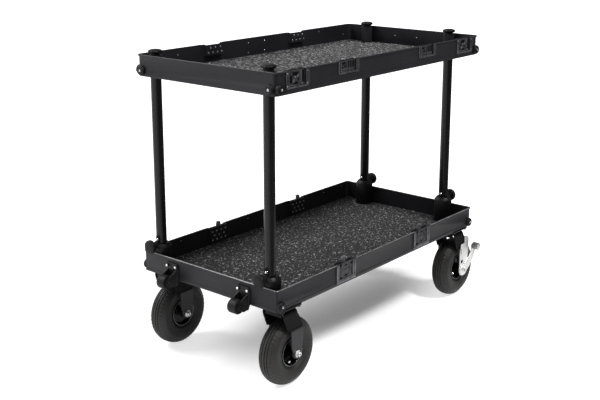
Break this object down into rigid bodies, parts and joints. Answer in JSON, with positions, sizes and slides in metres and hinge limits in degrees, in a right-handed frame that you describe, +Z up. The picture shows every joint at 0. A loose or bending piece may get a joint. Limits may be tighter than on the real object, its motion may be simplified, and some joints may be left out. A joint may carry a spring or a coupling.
{
  "type": "camera cart",
  "caption": "Two-deck case-style equipment cart: shallow trays on lift-out poles, swivel casters with pneumatic-look tyres, foot brakes, case latches and load rollers.",
  "frame": {"origin": "middle of the overall box in plan, at floor level", "axes": "+X along the cart, away from the load rollers; +Z up; -Y is the long side with four dishes in the upper tray"},
  "size_m": [1.3586, 0.7006, 1.1083],
  "materials": {
    "tray_paint": "black powder coat",
    "lower_liner": "heathered needle-felt carpet",
    "upper_liner": "heathered needle-felt carpet",
    "pole_paint": "satin black anodised",
    "black_plastic": "moulded, slightly glossy",
    "button_chrome": "polished",
    "caster_paint": "black e-coat",
    "zinc_steel": "bright zinc",
    "rim_paint": "black",
    "tyre_rubber": "matt rubber",
    "roller_rubber": "matt rubber",
    "latch_steel": "dark zinc"
  },
  "bodies": {
    "base": {"lower_tray": "tray_paint", "lower_carpet": "lower_liner", "pole_socket_fl": "black_plastic", "pole_socket_fr": "black_plastic", "pole_socket_bl": "black_plastic", "pole_socket_br": "black_plastic", "caster_plate_fl": "caster_paint", "caster_plate_fr": "caster_paint", "caster_plate_bl": "caster_paint", "caster_plate_br": "caster_paint", "roller_bracket_f": "caster_paint", "roller_bracket_b": "caster_paint"},
    "poles": {"pole_fl": "pole_paint", "pole_fr": "pole_paint", "pole_bl": "pole_paint", "pole_br": "pole_paint"},
    "top_tray": {"upper_tray": "tray_paint", "upper_carpet": "upper_liner"},
    "swivel_fl": {"caster_fork_fl": "caster_paint", "caster_axle_fl": "zinc_steel"},
    "wheel_fl": {"caster_rim_fl": "rim_paint", "caster_tyre_fl": "tyre_rubber"},
    "swivel_fr": {"caster_fork_fr": "caster_paint", "caster_axle_fr": "zinc_steel", "brake_plate_fr": "zinc_steel"},
    "wheel_fr": {"caster_rim_fr": "rim_paint", "caster_tyre_fr": "tyre_rubber"},
    "brake_fr": {"brake_lever_fr": "zinc_steel"},
    "swivel_bl": {"caster_fork_bl": "caster_paint", "caster_axle_bl": "zinc_steel"},
    "wheel_bl": {"caster_rim_bl": "rim_paint", "caster_tyre_bl": "tyre_rubber"},
    "swivel_br": {"caster_fork_br": "caster_paint", "caster_axle_br": "zinc_steel", "brake_plate_br": "zinc_steel"},
    "wheel_br": {"caster_rim_br": "rim_paint", "caster_tyre_br": "tyre_rubber"},
    "brake_br": {"brake_lever_br": "zinc_steel"},
    "roller_f": {"load_roller_f": "roller_rubber"},
    "roller_b": {"load_roller_b": "roller_rubber"},
    "clamp_fl": {"clamp_knob_fl": "black_plastic"},
    "knob_fl": {"top_knob_fl": "black_plastic"},
    "button_fl": {"snap_button_fl": "button_chrome"},
    "clamp_fr": {"clamp_knob_fr": "black_plastic"},
    "knob_fr": {"top_knob_fr": "black_plastic"},
    "button_fr": {"snap_button_fr": "button_chrome"},
    "clamp_bl": {"clamp_knob_bl": "black_plastic"},
    "knob_bl": {"top_knob_bl": "black_plastic"},
    "button_bl": {"snap_button_bl": "button_chrome"},
    "clamp_br": {"clamp_knob_br": "black_plastic"},
    "knob_br": {"top_knob_br": "black_plastic"},
    "button_br": {"snap_button_br": "button_chrome"},
    "wing_fl": {"latch_wing_fl": "latch_steel"},
    "hook_fl": {"latch_hook_fl": "latch_steel"},
    "wing_fr": {"latch_wing_fr": "latch_steel"},
    "hook_fr": {"latch_hook_fr": "latch_steel"},
    "wing_bl": {"latch_wing_bl": "latch_steel"},
    "hook_bl": {"latch_hook_bl": "latch_steel"},
    "wing_br": {"latch_wing_br": "latch_steel"},
    "hook_br": {"latch_hook_br": "latch_steel"}
  },
  "joints": [
    {"name": "poles_lift", "type": "slide", "parent": "base", "child": "poles", "axis": [0, 0, 1], "range_m": [0, 0.09]},
    {"name": "top_tray_lift", "type": "slide", "parent": "poles", "child": "top_tray", "axis": [0, 0, 1], "range_m": [0, 0.06]},
    {"name": "swivel_turn_fl", "type": "hinge", "parent": "base", "child": "swivel_fl", "pos_m": [-0.54075, -0.266, 0.285], "axis": [0, 0, 1], "continuous": true},
    {"name": "wheel_spin_fl", "type": "hinge", "parent": "swivel_fl", "child": "wheel_fl", "pos_m": [-0.50825, -0.266, 0.1205], "axis": [0, 1, 0], "continuous": true},
    {"name": "swivel_turn_fr", "type": "hinge", "parent": "base", "child": "swivel_fr", "pos_m": [0.52625, -0.266, 0.285], "axis": [0, 0, 1], "continuous": true},
    {"name": "wheel_spin_fr", "type": "hinge", "parent": "swivel_fr", "child": "wheel_fr", "pos_m": [0.55875, -0.266, 0.1205], "axis": [0, 1, 0], "continuous": true},
    {"name": "brake_press_fr", "type": "hinge", "parent": "swivel_fr", "child": "brake_fr", "pos_m": [0.55875, -0.322, 0.1205], "axis": [0, -1, 0], "range_deg": [0, 22]},
    {"name": "swivel_turn_bl", "type": "hinge", "parent": "base", "child": "swivel_bl", "pos_m": [-0.54075, 0.266, 0.285], "axis": [0, 0, 1], "continuous": true},
    {"name": "wheel_spin_bl", "type": "hinge", "parent": "swivel_bl", "child": "wheel_bl", "pos_m": [-0.50825, 0.266, 0.1205], "axis": [0, 1, 0], "continuous": true},
    {"name": "swivel_turn_br", "type": "hinge", "parent": "base", "child": "swivel_br", "pos_m": [0.52625, 0.266, 0.285], "axis": [0, 0, 1], "continuous": true},
    {"name": "wheel_spin_br", "type": "hinge", "parent": "swivel_br", "child": "wheel_br", "pos_m": [0.55875, 0.266, 0.1205], "axis": [0, 1, 0], "continuous": true},
    {"name": "brake_press_br", "type": "hinge", "parent": "swivel_br", "child": "brake_br", "pos_m": [0.55875, 0.322, 0.1205], "axis": [0, -1, 0], "range_deg": [0, 22]},
    {"name": "roller_spin_f", "type": "hinge", "parent": "base", "child": "roller_f", "pos_m": [-0.65425, -0.172, 0.3], "axis": [0, 1, 0], "continuous": true},
    {"name": "roller_spin_b", "type": "hinge", "parent": "base", "child": "roller_b", "pos_m": [-0.65425, 0.172, 0.3], "axis": [0, 1, 0], "continuous": true},
    {"name": "clamp_turn_fl", "type": "hinge", "parent": "base", "child": "clamp_fl", "pos_m": [-0.62685, -0.2615, 0.404], "axis": [-1, 0, 0], "range_deg": [0, 720]},
    {"name": "knob_turn_fl", "type": "hinge", "parent": "top_tray", "child": "knob_fl", "pos_m": [-0.58185, -0.2615, 1.09], "axis": [0, 0, 1], "range_deg": [0, 720]},
    {"name": "button_press_fl", "type": "slide", "parent": "poles", "child": "button_fl", "axis": [1, 0, 0], "range_m": [0, 0.0035], "stiffness_N_per_m": 800},
    {"name": "clamp_turn_fr", "type": "hinge", "parent": "base", "child": "clamp_fr", "pos_m": [0.61635, -0.2037, 0.404], "axis": [1, 0, 0], "range_deg": [0, 720]},
    {"name": "knob_turn_fr", "type": "hinge", "parent": "top_tray", "child": "knob_fr", "pos_m": [0.57135, -0.2037, 1.09], "axis": [0, 0, 1], "range_deg": [0, 720]},
    {"name": "button_press_fr", "type": "slide", "parent": "poles", "child": "button_fr", "axis": [1, 0, 0], "range_m": [0, 0.0035], "stiffness_N_per_m": 800},
    {"name": "clamp_turn_bl", "type": "hinge", "parent": "base", "child": "clamp_bl", "pos_m": [-0.62685, 0.2615, 0.404], "axis": [-1, 0, 0], "range_deg": [0, 720]},
    {"name": "knob_turn_bl", "type": "hinge", "parent": "top_tray", "child": "knob_bl", "pos_m": [-0.58185, 0.2615, 1.09], "axis": [0, 0, 1], "range_deg": [0, 720]},
    {"name": "button_press_bl", "type": "slide", "parent": "poles", "child": "button_bl", "axis": [1, 0, 0], "range_m": [0, 0.0035], "stiffness_N_per_m": 800},
    {"name": "clamp_turn_br", "type": "hinge", "parent": "base", "child": "clamp_br", "pos_m": [0.61635, 0.2037, 0.404], "axis": [1, 0, 0], "range_deg": [0, 720]},
    {"name": "knob_turn_br", "type": "hinge", "parent": "top_tray", "child": "knob_br", "pos_m": [0.57135, 0.2037, 1.09], "axis": [0, 0, 1], "range_deg": [0, 720]},
    {"name": "button_press_br", "type": "slide", "parent": "poles", "child": "button_br", "axis": [1, 0, 0], "range_m": [0, 0.0035], "stiffness_N_per_m": 800},
    {"name": "wing_turn_fl", "type": "hinge", "parent": "base", "child": "wing_fl", "pos_m": [-0.24725, -0.312, 0.346], "axis": [0, 1, 0], "range_deg": [0, 180]},
    {"name": "hook_draw_fl", "type": "slide", "parent": "base", "child": "hook_fl", "axis": [0, 0, -1], "range_m": [0, 0.006]},
    {"name": "wing_turn_fr", "type": "hinge", "parent": "base", "child": "wing_fr", "pos_m": [0.23275, -0.312, 0.346], "axis": [0, 1, 0], "range_deg": [0, 180]},
    {"name": "hook_draw_fr", "type": "slide", "parent": "base", "child": "hook_fr", "axis": [0, 0, -1], "range_m": [0, 0.006]},
    {"name": "wing_turn_bl", "type": "hinge", "parent": "base", "child": "wing_bl", "pos_m": [-0.24725, 0.312, 0.346], "axis": [0, 1, 0], "range_deg": [0, 180]},
    {"name": "hook_draw_bl", "type": "slide", "parent": "base", "child": "hook_bl", "axis": [0, 0, -1], "range_m": [0, 0.006]},
    {"name": "wing_turn_br", "type": "hinge", "parent": "base", "child": "wing_br", "pos_m": [0.23275, 0.312, 0.346], "axis": [0, 1, 0], "range_deg": [0, 180]},
    {"name": "hook_draw_br", "type": "slide", "parent": "base", "child": "hook_br", "axis": [0, 0, -1], "range_m": [0, 0.006]}
  ],
  "couplings": [
    {"joint": "hook_draw_fl", "follows": "wing_turn_fl", "m_per_rad": 0.0019},
    {"joint": "hook_draw_fr", "follows": "wing_turn_fr", "m_per_rad": 0.0019},
    {"joint": "hook_draw_bl", "follows": "wing_turn_bl", "m_per_rad": 0.0019},
    {"joint": "hook_draw_br", "follows": "wing_turn_br", "m_per_rad": 0.0019}
  ]
}
